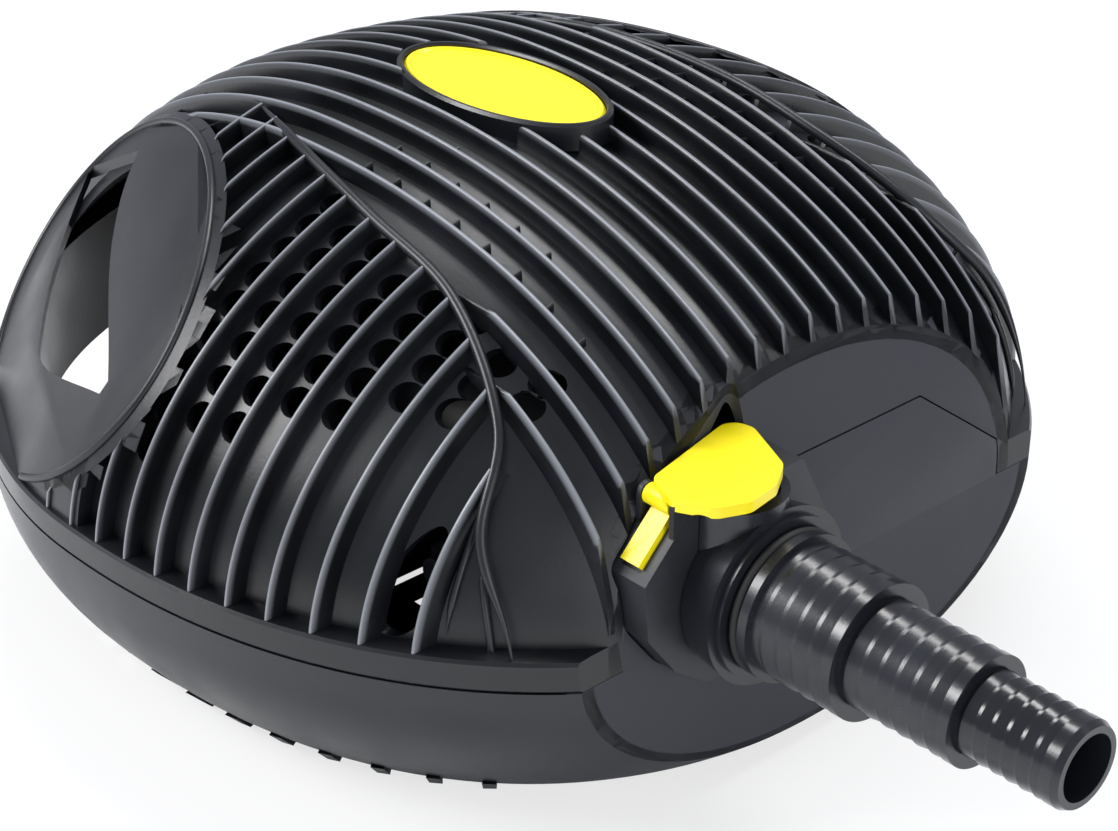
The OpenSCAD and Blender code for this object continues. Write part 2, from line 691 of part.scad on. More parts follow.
module volute_cover() {
  color([0.16, 0.16, 0.17])
  difference() {
    union() {
      along_motor(chamber_near - gap - 3) cylinder(h = 3, r = chamber_r, $fn = fine);
      along_motor(chamber_near - gap - 11) tube(9, 20, 17);
      ears(chamber_near - gap - 3, 3);
      intersection() {
        along_motor(chamber_near - gap - 11) cylinder(h = 9, r = 18, $fn = fine);
        for (a = [0, 120, 240]) translate([motor_x, chamber_near - gap - 11, motor_z]) rotate([0, a, 0])
          translate([0, 0, -1.5]) cube([20, 9, 3]);
      }
      along_motor(chamber_near - gap - 11) cylinder(h = 9, r = 8, $fn = fine);
    }
    difference() {
      along_motor(chamber_near - 20) cylinder(h = 30, r = 17, $fn = fine);
      along_motor(chamber_near - gap - 12) cylinder(h = 11, r = 8, $fn = fine);
      for (a = [0, 120, 240]) translate([motor_x, chamber_near - gap - 11, motor_z]) rotate([0, a, 0])
        translate([0, 0, -1.5]) cube([20, 9, 3]);
    }
    along_motor(chamber_near - gap - 9) cylinder(h = 20, r = 6, $fn = fine);
    ear_holes(screw_r);
  }
}
module cover_seal() {
  color([0.05, 0.05, 0.05])
  along_motor(chamber_near + 1.4) torus(chamber_r - 3.2 - 1.2 - gap, 1.2);
}
module front_shaft_mount() {
  color([0.06, 0.06, 0.06])
  along_motor(chamber_near - gap - 8.7) difference() {
    cylinder(h = 7, r = 5.8, $fn = fine);
    translate([0, 0, 1.5]) cylinder(h = 7, r = shaft_r, $fn = fine);
  }
}
shaft_near = chamber_near - gap - 7.2;
well_end = 62;
module ceramic_shaft() {
  color([0.92, 0.92, 0.9])
  along_motor(shaft_near) cylinder(h = well_end - 3 - shaft_near, r = shaft_r, $fn = fine);
}
wheel_near = chamber_near + 6;
module impeller() {
  color([0.2, 0.22, 0.25])
  difference() {
    union() {
      along_motor(wheel_near + 22) cylinder(h = 3, r = impeller_r, $fn = fine);
      along_motor(wheel_near) cylinder(h = 25, r = 8, $fn = fine);
      along_motor(wheel_near + 24) cylinder(h = -wheel_near - 24 - 10, r = 12, $fn = fine);
      for (i = [0 : blades - 1]) translate([motor_x, wheel_near + 2, motor_z]) rotate([0, i * 360 / blades, 0])
        translate([6, 0, -1.2]) rotate([0, 12, 0]) cube([impeller_r - 8, 21, 2.4]);
    }
    along_motor(wheel_near - over) cylinder(h = length_all, r = shaft_r + running_gap, $fn = fine);
  }
}
rotor_near = -9.7;
rotor_long = 56;
module rotor_magnet() {
  color([0.1, 0.1, 0.11])
  along_motor(rotor_near) difference() {
    cylinder(h = rotor_long, r = rotor_r, $fn = fine);
    translate([0, 0, -over]) cylinder(h = 2 * rotor_long, r = 7, $fn = fine);
  }
}
module rotor_bushes() {
  color([0.35, 0.3, 0.25])
  for (y = [rotor_near, rotor_near + rotor_long - 12]) along_motor(y)
    tube(12, 7 - 0.02, shaft_r + running_gap);
}
module rotor_well() {
  color([0.3, 0.3, 0.3])
  difference() {
    union() {
      along_motor(chamber_far + gap) cylinder(h = 3, r = can_r - 5, $fn = fine);
      along_motor(chamber_far + gap) cylinder(h = well_end - chamber_far, r = rotor_r + 2.2, $fn = fine);
    }
    along_motor(chamber_far - over) cylinder(h = well_end - 10 - chamber_far, r = rotor_r + 0.8, $fn = fine);
    along_motor(0) cylinder(h = well_end - 2, r = 7, $fn = fine);
  }
}
module rear_shaft_mount() {
  color([0.06, 0.06, 0.06])
  along_motor(well_end - 8.8) difference() {
    cylinder(h = 6.6, r = 6.8, $fn = fine);
    translate([0, 0, -over]) cylinder(h = 6.8, r = shaft_r, $fn = fine);
  }
}
module well_seal() {
  color([0.05, 0.05, 0.05])
  along_motor(chamber_far + gap + 3 + 1.2 + gap / 2) torus(can_r - 3 - 1.2 - gap, 1.2);
}
can_near = chamber_far + gap;
module motor_can() {
  color([0.15, 0.15, 0.16])
  difference() {
    union() {
      along_motor(can_near) cylinder(h = can_length, r = can_r, $fn = fine);
      ears(can_near, 14);
    }
    along_motor(can_near - over) cylinder(h = can_length - 3 + over, r = can_r - 3, $fn = fine);
    ear_holes(screw_r);
    translate([motor_x - 18, can_near + can_length - 4, motor_z + 14]) rotate([-90, 0, 0])
      cylinder(h = 10, r = 5, $fn = fine);
  }
}
core_near = -6;
core_long = 52;
module stator_core() {
  color([0.45, 0.45, 0.48])
  difference() {
    along_motor(core_near) tube(core_long, can_r - 3.4, rotor_r + 2.5);
    for (s = [-1, 1]) translate([motor_x - 14, core_near - over, motor_z + s * 28 - 6])
      cube([28, core_long + 2 * over, 12]);
  }
}
module stator_coils() {
  color([0.72, 0.4, 0.2])
  for (s = [-1, 1]) translate([motor_x - 13.7, core_near - 2, motor_z + s * 28 - 5.7])
    cube([27.4, core_long + 4, 11.4]);
}
module cable_gland() {
  color([0.08, 0.08, 0.08])
  translate([motor_x - 18, can_near + can_length - 3.4, motor_z + 14]) rotate([-90, 0, 0])
    difference() {
      union() {
        cylinder(h = 4, r = 4.9, $fn = fine);
        translate([0, 0, 3.5]) cylinder(h = 5, r = 9, $fn = 6);
        translate([0, 0, 8]) cylinder(h = 6, r = 6.5, $fn = fine);
      }
      translate([0, 0, -over]) cylinder(h = 20, r = 3.6, $fn = fine);
    }
}
module case_screws() {
  color([0.78, 0.78, 0.8])
  for (a = ear_angles) translate([motor_x + ear_ring * cos(a), chamber_near - gap - 3, motor_z + ear_ring * sin(a)])
    rotate([-90, 0, 0]) {
      translate([0, 0, -2.6]) cylinder(h = 2.4, r = 3.6, $fn = fine);
      translate([0, 0, -1]) cylinder(h = pipe_od + 14, r = screw_r - 0.02, $fn = fine);
    }
}

plate_z = floor_z * half + wall + gap;
plate_edge = 6;
slots = 11;
module strainer_plate() {
  color([0.2, 0.2, 0.22])
  difference() {
    translate([motor_x + 30 - window_x - plate_edge, -window_y - plate_edge, plate_z])
      cube([2 * (window_x + plate_edge), 2 * (window_y + plate_edge), wall]);
    for (i = [0 : slots - 1], j = [-1, 0, 1])
      translate([motor_x + 30 - window_x + 8 + i * 14.4, j * 38 - 15, plate_z - over])
        cube([6, 30, 4 * wall]);
    plate_holes(screw_r * 0.8);
  }
}
module plate_holes(r) {
  for (sx = [-1, 1], sy = [-1, 1])
    translate([motor_x + 30 + sx * (window_x + plate_edge / 2), sy * (window_y + plate_edge / 2), -over])
      cylinder(h = 12, r = r, $fn = fine);
}
module plate_screws() {
  color([0.78, 0.78, 0.8])
  for (sx = [-1, 1], sy = [-1, 1])
    translate([motor_x + 30 + sx * (window_x + plate_edge / 2), sy * (window_y + plate_edge / 2),
      plate_z + wall]) {
      cylinder(h = 1.6, r = 2.8, $fn = fine);
      translate([0, 0, -wall]) cylinder(h = wall + half, r = screw_r * 0.8 - 0.02, $fn = fine);
    }
}
module motor_cradle() {
  color([0.14, 0.14, 0.15])
  difference() {
    union() {
      translate([motor_x - 34, 2, plate_z + wall + gap]) cube([68, 12, 20]);
      translate([motor_x - 34, 48, plate_z + wall + gap]) cube([68, 12, 20]);
      translate([motor_x - 34, 2, plate_z + wall + gap]) cube([68, 58, 3]);
    }
    along_motor(0 - over) cylinder(h = 80, r = can_r + gap, $fn = fine);
  }
}
// Latches that hold the cage, pressed through the leaf-shaped holes
latch_r = 5;
latch_low = 20;
latch_reach = 5;
latch_y = 0.665 * near_half;
module cage_latches() {
  color([0.04, 0.04, 0.04])
  for (side = [-1, 1]) {
    translate([leaf_x - latch_r, side * latch_y - 2, latch_low])
      cube([2 * latch_r, 4, leaf_z + latch_r - latch_low]);
    translate([leaf_x, side * latch_y, leaf_z - 1]) rotate([-side * 90, 0, 0])
      cylinder(h = latch_reach, r = latch_r, $fn = fine);
  }
}
foot_r = 7;
module rubber_feet() {
  color([0.05, 0.05, 0.05])
  for (sx = [-1, 1], sy = [-1, 1])
    translate([motor_x + 32 + sx * 62, sy * (window_y + 26), 0])
      cylinder(h = floor_z * half - gap / 3, r = foot_r, $fn = fine);
}

module place() { translate([shift_x, shift_y, 0]) children(); }
place() top_cage();
place() base_shell();
place() badge();
place() strainer_plate();
place() plate_screws();
place() rubber_feet();
place() outlet_collar();
place() outlet_neck();
place() hose_tail();
place() neck_seal();
place() spigot_seal();
place() release_lever();
place() lever_pin();
place() volute_housing();
place() volute_cover();
place() cover_seal();
place() front_shaft_mount();
place() ceramic_shaft();
place() impeller();
place() rotor_magnet();
place() rotor_bushes();
place() rotor_well();
place() rear_shaft_mount();
place() well_seal();
place() motor_can();
place() stator_core();
place() stator_coils();
place() cable_gland();
place() case_screws();
place() motor_cradle();
place() cage_latches();
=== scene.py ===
import math
import bmesh
import bpy
import numpy as np
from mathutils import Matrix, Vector


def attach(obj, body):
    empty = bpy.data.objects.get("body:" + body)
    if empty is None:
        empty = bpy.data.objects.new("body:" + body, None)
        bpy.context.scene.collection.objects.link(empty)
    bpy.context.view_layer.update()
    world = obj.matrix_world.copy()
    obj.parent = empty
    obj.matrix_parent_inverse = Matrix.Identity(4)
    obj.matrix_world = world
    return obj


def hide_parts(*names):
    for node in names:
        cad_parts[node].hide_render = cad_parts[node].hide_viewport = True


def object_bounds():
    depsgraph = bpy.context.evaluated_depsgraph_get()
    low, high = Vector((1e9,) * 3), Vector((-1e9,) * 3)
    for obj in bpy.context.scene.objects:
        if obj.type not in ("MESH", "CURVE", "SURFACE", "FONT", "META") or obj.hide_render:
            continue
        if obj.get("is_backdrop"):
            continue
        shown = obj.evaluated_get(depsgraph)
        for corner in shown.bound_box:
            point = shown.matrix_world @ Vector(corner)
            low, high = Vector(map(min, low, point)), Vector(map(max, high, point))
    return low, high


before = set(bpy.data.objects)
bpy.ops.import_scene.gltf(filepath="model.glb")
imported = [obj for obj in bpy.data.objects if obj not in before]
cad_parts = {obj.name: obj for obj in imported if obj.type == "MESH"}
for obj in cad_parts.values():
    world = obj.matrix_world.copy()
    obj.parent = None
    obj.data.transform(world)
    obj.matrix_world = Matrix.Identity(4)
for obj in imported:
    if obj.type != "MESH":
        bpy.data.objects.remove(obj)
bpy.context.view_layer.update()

# Sizes in millimetres, before MOVE takes them to the frame of the CAD part
MOVE = np.array([-28.9, -5.75, 0.0])
SIDES = (-1, 1)
# Height of the seam, dome above it and bowl below it; reach forward and back from the widest station
SEAM, CROWN, BOWL = 56.0, 112.0, 95.0
FRONT, REAR, WIDEST = 185.0, 160.0, -31.0
# Half widths, outline powers and section roundness of the near and the far side
NEAR, FAR = 158.5, 170.0
NEAR_POWER, FAR_POWER, REAR_POWER = 2.2, 2.05, 2.0
NEAR_ROUND, FAR_ROUND, MID_ROUND = 1.93, 2.24, 2.08
# Groove depth and wall thickness; lower edge of the cage, upper and lower edge of the base
GROOVE, WALL = 6.0, 2.6
CAGE_LOW, BASE_TOP, BASE_LOW = 56.2, 55.8, 1.5
# Leaning front face, and the brow over it: station, height and lean in degrees
FACE_X, FACE_LEAN = 127.7, 4.17
BROW_X, BROW_Z, BROW_LEAN = 118.0, 94.0, 14.0
# Plane of a grip: its distance, rise and heading; depth under it at which ribs and skin end
GRIP_CUT, GRIP_RISE, GRIP_HEAD = 170.1, 39.6, 65.3
LAP = 2.2
# Depth of grip panels and bars under the outer dome, and of the bar's end under the panel
PANEL_INSET, BAR_LAP = 1.2, 0.3
# Ridges run along the body and ribs across it: pitches, half widths, depths of root and top edge
RIDGE_PITCH, RIB_PITCH, RIB_START = 11.1, 13.2, -16.3
RIDGE_HALF, RIB_HALF, STUB_HALF = 1.15, 0.95, 0.7
ROOT, TOP = GROOVE + 1.4, 0.2
# Ridges on each side that reach the rear, and the angles at which the outer ones start
LONG_RIDGES, OUTER_STARTS = 6, (66, 54)
# Farthest stub from the middle plane, and farthest forward
STUB_SIDE, STUB_FRONT = 66, 84
# Strainer holes: radius and pitch; leaf-shaped hole: place, half width and height, lean in degrees
HOLE_R, HOLE_PITCH = 4.6, 13
LEAF_X, LEAF_Z, LEAF_WIDE, LEAF_TALL, LEAF_LEAN = 81, 81, 6.5, 15, 8
# Rear hood over the base: its half width, and the base's cut under it
HOOD_HALF = 0.44 * NEAR
CUT_HALF, CUT_START = 0.61 * NEAR, 0.783 * NEAR
# Axis of the outlet
OUTLET_Y, OUTLET_Z = -41.6, 73.7
# Station well beyond the body on every side, where cutting boxes end
BEYOND = 300


def power_of(t):
    """Superellipse power of the outline at angle t."""
    return np.where(np.cos(t) < 0, REAR_POWER, np.where(np.sin(t) < 0, NEAR_POWER, FAR_POWER))


def plan(t, inset, r):
    """Outline point: superellipse radius at angle t, shrunk by the inset and scaled by r."""
    n = power_of(t)
    c, s = np.cos(t), np.sin(t)
    k = (np.abs(c) ** n + np.abs(s) ** n) ** (-1 / n)
    a = np.where(c > 0, FRONT, REAR) - inset
    b = np.where(s < 0, NEAR, FAR) - inset
    return WIDEST + a * c * k * r, b * s * k * r


def roundness(t):
    """Roundness of the section: middle value, bent towards the side's own by the squared sine."""
    side_round = np.where(np.sin(t) < 0, NEAR_ROUND, FAR_ROUND)
    return MID_ROUND + np.sin(t) ** 2 * (side_round - MID_ROUND)


def dome(t, v, inset):
    """Dome point: the outline scaled by cos(v)^(2/m), raised by sin(v)^(2/m)."""
    m = roundness(t)
    x, y = plan(t, inset, np.maximum(np.cos(v), 0) ** (2 / m))
    return np.stack([x, y, SEAM + (CROWN - inset) * np.maximum(np.sin(v), 0) ** (2 / m)], -1)


def height(x, y, inset=0.0):
    """Height of the dome over a plan point: inverse of the section's superellipse."""
    x, y = np.broadcast_arrays(np.asarray(x, float), np.asarray(y, float))
    t = np.arctan2(y / np.where(y < 0, NEAR, FAR), (x - WIDEST) / np.where(x > WIDEST, FRONT, REAR))
    n, m = power_of(t), roundness(t)
    a = np.where(x > WIDEST, FRONT, REAR) - inset
    b = np.where(y < 0, NEAR, FAR) - inset
    r = ((np.abs(x - WIDEST) / a) ** n + (np.abs(y) / b) ** n) ** (1 / n)
    return SEAM + (CROWN - inset) * np.maximum(1 - np.minimum(r, 1) ** m, 0) ** (1 / m)


def linear(code):
    """sRGB hex value to linear colour."""
    rgb = [int(code[i:i + 2], 16) / 255 for i in (1, 3, 5)]
    return [c / 12.92 if c <= 0.04045 else ((c + 0.055) / 1.055) ** 2.4 for c in rgb] + [1.0]


def full_turn(count):
    """Evenly spaced angles of a full turn."""
    return np.linspace(0, 2 * np.pi, count, endpoint=False)


def linked(name, data):
    """Object of a mesh, lamp or camera, linked to the scene."""
    thing = bpy.data.objects.new(name, data)
    bpy.context.scene.collection.objects.link(thing)
    return thing


def mesh_object(name, verts, faces):
    """Object from point rows in millimetres and face lists, its normals made to point outwards."""
    points = (np.asarray(verts, float).reshape(-1, 3) + MOVE) / 1000
    mesh = bpy.data.meshes.new(name)
    mesh.from_pydata(points.tolist(), [], [list(map(int, f)) for f in faces])
    work = bmesh.new()
    work.from_mesh(mesh)
    bmesh.ops.remove_doubles(work, verts=work.verts, dist=1e-7)
    bmesh.ops.recalc_face_normals(work, faces=work.faces)
    work.to_mesh(mesh)
    work.free()
    return linked(name, mesh)


def grid_faces(rows, cols):
    """Quads between neighbouring rows of a grid, closed round the columns."""
    i = np.arange(rows - 1)[:, None]
    j = np.arange(cols)[None, :]
    k = (j + 1) % cols
    quads = np.stack([i * cols + j, i * cols + k, (i + 1) * cols + k, (i + 1) * cols + j], -1)
    return quads.reshape(-1, 4).tolist()


def closed_rings(name, rings):
    """Closed solid from rings of equal length, with a flat cap at each end."""
    rings = np.asarray(rings, float)
    rows, cols = rings.shape[:2]
    faces = grid_faces(rows, cols)
    faces += [list(range(cols))[::-1], list(range((rows - 1) * cols, rows * cols))]
    return mesh_object(name, rings, faces)


def torus_rings(name, rings):
    """Closed solid from rings in a loop: the last ring joins the first."""
    rings = np.asarray(rings, float)
    rows, cols = rings.shape[:2]
    i, j = np.arange(rows)[:, None], np.arange(cols)[None, :]
    k, n = (j + 1) % cols, (i + 1) % rows
    faces = np.stack([i * cols + j, i * cols + k, n * cols + k, n * cols + j], -1).reshape(-1, 4)
    return mesh_object(name, rings, faces.tolist())


def dome_solid(name, inset, drop, cols=192, rows=44):
    """Solid dome: rings at rising section angles over a foot ring below the seam."""
    t = full_turn(cols)
    v = np.linspace(0, np.pi / 2, rows)[:-1]
    x, y = plan(t, inset, 1.0)
    foot = np.stack([x, y, np.full(cols, SEAM - drop)], -1)
    rings = np.concatenate([foot[None], dome(t[None, :], v[:, None], inset)])
    count = len(rings) * cols
    verts = np.concatenate([rings.reshape(-1, 3), [[WIDEST, 0, SEAM + CROWN - inset]]])
    faces = grid_faces(len(rings), cols) + [list(range(cols))[::-1]]
    faces += [[count - cols + j, count - cols + (j + 1) % cols, count] for j in range(cols)]
    return mesh_object(name, verts, faces)


def bowl_solid(name, inset, low, high, cols=192, rows=16):
    """Solid bowl: the outline shrunk with depth by the root of one minus the squared depth share."""
    t = full_turn(cols)
    z = np.concatenate([np.linspace(low, SEAM, rows), [high] if high > SEAM else []])
    r = np.sqrt(1 - (np.maximum(SEAM - z, 0) / BOWL) ** 2)
    x, y = plan(t[None, :], inset, r[:, None])
    return closed_rings(name, np.stack([x, y, np.broadcast_to(z[:, None], x.shape)], -1))


def prism(name, outline, low, high):
    """Upright prism over a plan outline."""
    ring = np.asarray(outline, float)
    return closed_rings(name, [np.c_[ring, np.full(len(ring), z)] for z in (low, high)])


def slab(x0, y0, x1, y1, low, high):
    """Upright box between two corners of its plan."""
    return prism("cut", [[x0, y0], [x1, y0], [x1, y1], [x0, y1]], low, high)


def rod(name, start, end, radius, cols):
    """Cylinder between two points."""
    start, end = np.asarray(start, float), np.asarray(end, float)
    w = (end - start) / np.linalg.norm(end - start)
    u = np.cross(w, [0, 0, 1.0] if abs(w[2]) < 0.9 else [1.0, 0, 0])
    u /= np.linalg.norm(u)
    q = np.cross(w, u)
    t = full_turn(cols)[:, None]
    circle = u * np.cos(t) + q * np.sin(t)
    return closed_rings(name, [start + radius * circle, end + radius * circle])


def block(point, normal, depth=400.0, size=500.0):
    """Box whose face stands on a point and which fills everything along the normal."""
    n = np.asarray(normal, float) / np.linalg.norm(normal)
    u = np.cross(n, [0, 0, 1.0])
    u /= np.linalg.norm(u)
    q = np.cross(n, u)
    square = np.array([[-1, -1], [1, -1], [1, 1], [-1, 1]]) * size
    base = np.asarray(point, float) + square[:, :1] * u + square[:, 1:] * q
    return closed_rings("cut", [base, base + n * depth])


def evaluated(thing):
    """Puts the result of the modifiers into the mesh and drops them."""
    graph = bpy.context.evaluated_depsgraph_get()
    graph.update()
    mesh = bpy.data.meshes.new_from_object(thing.evaluated_get(graph))
    thing.modifiers.clear()
    thing.data = mesh


def shape(body, tools, operation="DIFFERENCE"):
    """Cuts or intersects a solid with each tool in turn, then removes the tools."""
    for tool in tools:
        step = body.modifiers.new("step", "BOOLEAN")
        step.operation, step.solver, step.object = operation, "MANIFOLD", tool
    evaluated(body)
    for tool in tools:
        bpy.data.objects.remove(tool)
    return body


def solid_copy(thing):
    """Second object with its own copy of the mesh."""
    twin = thing.copy()
    twin.data = thing.data.copy()
    bpy.context.scene.collection.objects.link(twin)
    return twin


def face_tools(depth):
    """Everything before the leaning face and the brow, moved back by a depth."""
    lean, brow = math.radians(FACE_LEAN), math.radians(BROW_LEAN)
    return [block([FACE_X - depth, 0, 0], [math.cos(lean), 0, math.sin(lean)]),
            block([BROW_X - depth, 0, BROW_Z], [math.cos(brow), 0, math.sin(brow)])]


def face_plate(solid):
    """Plate of one wall thickness behind the face and the brow, inside a solid."""
    body = shape(solid, face_tools(0))
    return shape(body, [shape(solid_copy(body), face_tools(WALL))])


def grip_normal(side):
    """Outward normal of a grip panel: heading off the rear, rise above the level."""
    h, e = math.radians(GRIP_HEAD), math.radians(GRIP_RISE)
    return np.array([-math.cos(h) * math.cos(e), side * math.sin(h) * math.cos(e), math.sin(e)])


def grip_tool(side, depth):
    """Everything outside the plane of a grip, moved in by a depth."""
    n = grip_normal(side)
    return block(n * (GRIP_CUT - depth), n)


def grip_tools(depth):
    """The cuts of both grips."""
    return [grip_tool(side, depth) for side in SIDES]


# Long edges of the finger gap, inner and outer, as shares of the near half width
SLOT_IN = np.array([[-0.26, -0.84], [-0.62, -0.58], [-0.745, -0.38], [-0.78, 0]])
SLOT_OUT = np.array([[-0.265, -0.858], [-0.57, -0.795], [-0.70, -0.72], [-0.82, -0.60],
                     [-0.92, -0.44], [-1.02, -0.2], [-1.04, 0]])
# Step from the inner edge across the wall that stands along it
WALL_STEP = np.array([2.6, -1.3])


def smooth_line(points, count):
    """Curve through points: Catmull-Rom pieces on evenly spaced parameters."""
    p = np.asarray(points, float)
    q = np.concatenate([[2 * p[0] - p[1]], p, [2 * p[-1] - p[-2]]])
    u = np.linspace(0, len(p) - 1 - 1e-9, count)
    i = u.astype(int)
    f = (u - i)[:, None]
    a, b, c, d = q[i], q[i + 1], q[i + 2], q[i + 3]
    square, cube = 2 * a - 5 * b + 4 * c - d, 3 * b - a - 3 * c + d
    return 0.5 * (2 * b + (c - a) * f + square * f ** 2 + cube * f ** 3)


def gap_outline(side):
    """Plan of the finger gap, its two long edges smoothed."""
    inner, outer = smooth_line(SLOT_IN, 24), smooth_line(SLOT_OUT, 40)
    ring = np.concatenate([inner, outer[::-1]]) * NEAR
    return ring * [1, -side]


def clipped_gap(side, low, high):
    """Finger gap without its part under the rear hood."""
    hood = slab(-400, -HOOD_HALF, 10, HOOD_HALF, low - 1, high + 1)
    return shape(prism("gap", gap_outline(side), low, high), [hood])


def inner_wall(side, low, high):
    """Upright wall along the inner edge of the finger gap."""
    inner = smooth_line(SLOT_IN, 24) * NEAR * [1, -side]
    return prism("wall", np.concatenate([inner, (inner + WALL_STEP * [1, side])[::-1]]), low, high)


# Outlines as shares of a size: the clamping collar's hole, and the lever's pad round its post
COLLAR = np.array([[-0.305, 0.41], [-0.53, 0.18], [-0.507, -0.07], [-0.36, -0.27], [-0.18, -0.40],
                   [0.18, -0.40], [0.42, -0.20], [0.46, 0.11], [0.305, 0.41]])
COLLAR_HOLE, PAD_SIZE = 73.2, 31
PAD = np.array([[-0.31, -0.70], [-0.60, 0.55], [-0.34, 0.60], [0.29, 0.32], [0.49, 0.02], [0.55, -0.35],
                [0.42, -0.65], [0.06, -0.84]]) * PAD_SIZE
POST = np.array([129.0, -44.6])
# Floor of the pocket under the pad, and its size against the pad's
POCKET_LOW, POCKET_GROW = 102.2, 1.06


def rounded(points, radius, steps=6):
    """Outline with each corner replaced by a quadratic arc that starts a radius before it."""
    p = np.asarray(points, float)
    out = []
    for a, b, c in zip(np.roll(p, 1, 0), p, np.roll(p, -1, 0)):
        u, v = a - b, c - b
        r = min(radius, 0.45 * np.linalg.norm(u), 0.45 * np.linalg.norm(v))
        s, e = b + u / np.linalg.norm(u) * r, b + v / np.linalg.norm(v) * r
        f = np.linspace(0, 1, steps)[:, None]
        out.append((1 - f) ** 2 * s + 2 * f * (1 - f) * b + f ** 2 * e)
    return np.concatenate(out)


def collar_ring(x):
    """Outline of the collar's hole across the outlet axis at a station."""
    ring = rounded(COLLAR * COLLAR_HOLE, 3.0)
    return np.c_[np.full(len(ring), x), OUTLET_Y + ring[:, 0], OUTLET_Z + ring[:, 1]]


def collar_tool():
    """Hole for the clamping collar, along the outlet axis."""
    return closed_rings("cut", [collar_ring(40), collar_ring(200)])


def pad_tool():
    """Pocket under the lever's pad, a little wider than the pad."""
    return prism("cut", rounded(PAD, 6) * POCKET_GROW + POST, POCKET_LOW, 220)


def seam_floor():
    """Everything below the lower edge of the cage."""
    return slab(-BEYOND, -BEYOND, BEYOND, BEYOND, -40, CAGE_LOW)


def cage_tools():
    """The cuts that all crown pieces of the cage share: collar, pad and seam."""
    return [collar_tool(), pad_tool(), seam_floor()]


def finish_mesh(thing, angle=32):
    """Smooth shading with sharp edges above an angle in degrees."""
    mesh = thing.data
    mesh.polygons.foreach_set("use_smooth", np.ones(len(mesh.polygons), bool))
    mesh.set_sharp_from_angle(angle=math.radians(angle))
    mesh.update()
    return thing


def join(name, things):
    """One object from several, their meshes kept as they are."""
    work = bmesh.new()
    for thing in things:
        work.from_mesh(thing.data)
        bpy.data.objects.remove(thing)
    mesh = bpy.data.meshes.new(name)
    work.to_mesh(mesh)
    work.free()
    return linked(name, mesh)


# Materials
def add(tree, kind, links=(), **settings):
    """Adds a node, sets its properties and inputs, and links its inputs."""
    node = tree.nodes.new(kind)
    for key, value in settings.items():
        if key.startswith("in_"):
            node.inputs[key[3:].replace("_", " ")].default_value = value
        else:
            setattr(node, key, value)
    for name, source in links:
        tree.links.new(source, node.inputs[name])
    return node


# Half range of the roughness over a moulding
GLOSS_SPREAD = 0.08


def moulded(name, low, high, rough, grain_mm=0.9, bump=0.05, edge=None):
    """Moulded plastic: mottled colour and roughness, a fine grained bump, and a painted highlight: a lighter
    colour on the edges that the edge attribute marks.
    """
    material = bpy.data.materials.new(name)
    material.use_nodes = True
    tree = material.node_tree
    tree.nodes.clear()
    place = add(tree, "ShaderNodeTexCoord").outputs["Object"]
    cloud = add(tree, "ShaderNodeTexNoise", [("Vector", place)], in_Scale=28.0, in_Detail=4.0)
    ramp = add(tree, "ShaderNodeValToRGB", [("Fac", cloud.outputs["Fac"])])
    ramp.color_ramp.elements[0].position, ramp.color_ramp.elements[1].position = 0.36, 0.64
    ramp.color_ramp.elements[0].color, ramp.color_ramp.elements[1].color = linear(low), linear(high)
    colour = ramp.outputs["Color"]
    # Painted highlight: where the edge attribute is set, the colour is mixed towards a lighter grey, standing
    # in for light caught on rounded top edges
    if edge:
        highlight_mark = add(tree, "ShaderNodeAttribute", attribute_name="edge")
        mix = add(tree, "ShaderNodeMix", data_type="RGBA")
        tree.links.new(highlight_mark.outputs["Fac"], mix.inputs[0])
        tree.links.new(colour, mix.inputs[6])
        mix.inputs[7].default_value = linear(edge)
        colour = mix.outputs[2]
    grain = add(tree, "ShaderNodeTexNoise", [("Vector", place)], in_Scale=1000 / grain_mm, in_Detail=2.0)
    span = add(tree, "ShaderNodeMapRange", [("Value", cloud.outputs["Fac"])], in_From_Min=0.3,
               in_From_Max=0.7, in_To_Min=rough - GLOSS_SPREAD, in_To_Max=rough + GLOSS_SPREAD)
    relief = add(tree, "ShaderNodeBump", [("Height", grain.outputs["Fac"])],
                 in_Strength=bump, in_Distance=0.0004)
    shader = add(tree, "ShaderNodeBsdfPrincipled", in_IOR=1.49)
    tree.links.new(colour, shader.inputs["Base Color"])
    tree.links.new(span.outputs[0], shader.inputs["Roughness"])
    tree.links.new(relief.outputs[0], shader.inputs["Normal"])
    add(tree, "ShaderNodeOutputMaterial", [(0, shader.outputs[0])])
    return material


def metal(name, low, high, rough):
    """Plain metal: the same mottling as a moulding's, with a finer, shallower grain."""
    material = moulded(name, low, high, rough, 0.3, 0.03)
    shader = next(n for n in material.node_tree.nodes if n.type == "BSDF_PRINCIPLED")
    shader.inputs["Metallic"].default_value = 1.0
    shader.inputs["IOR"].default_value = 1.5
    return material


# Black polypropylene cage: satin, with a grey painted highlight on the top edges of ribs and ridges
cage_plastic = moulded("cage_moulded_polypropylene", "#0b0c0f", "#121318", 0.34, 1.1, 0.08, edge="#7c7f86")
# The same plastic without the painted highlight on edges, smoother on the grips
grip_plastic = moulded("grip_moulded_polypropylene", "#0f1014", "#17181d", 0.36, 1.4, 0.10)
# Fine-eroded front face: matte dark grey
face_plastic = moulded("face_eroded_polypropylene", "#24252c", "#2a2b32", 0.60, 0.8, 0.12)
# Bowl base: satin charcoal
base_plastic = moulded("base_moulded_polypropylene", "#121318", "#1a1b21", 0.36, 1.3, 0.08)
# Glass-filled nylon of the outlet, glossier than the cage
outlet_plastic = moulded("outlet_glass_filled_nylon", "#17181c", "#22242a", 0.24, 0.6, 0.06)
# The same nylon with a matte eroded surface, on the clamping collar
collar_plastic = moulded("collar_eroded_nylon", "#17181c", "#212328", 0.46, 0.6, 0.08)
# Yellow ABS of the lever and the oval inlay
yellow_abs = moulded("yellow_abs", "#efdb0c", "#f5e314", 0.32, 1.0, 0.03)
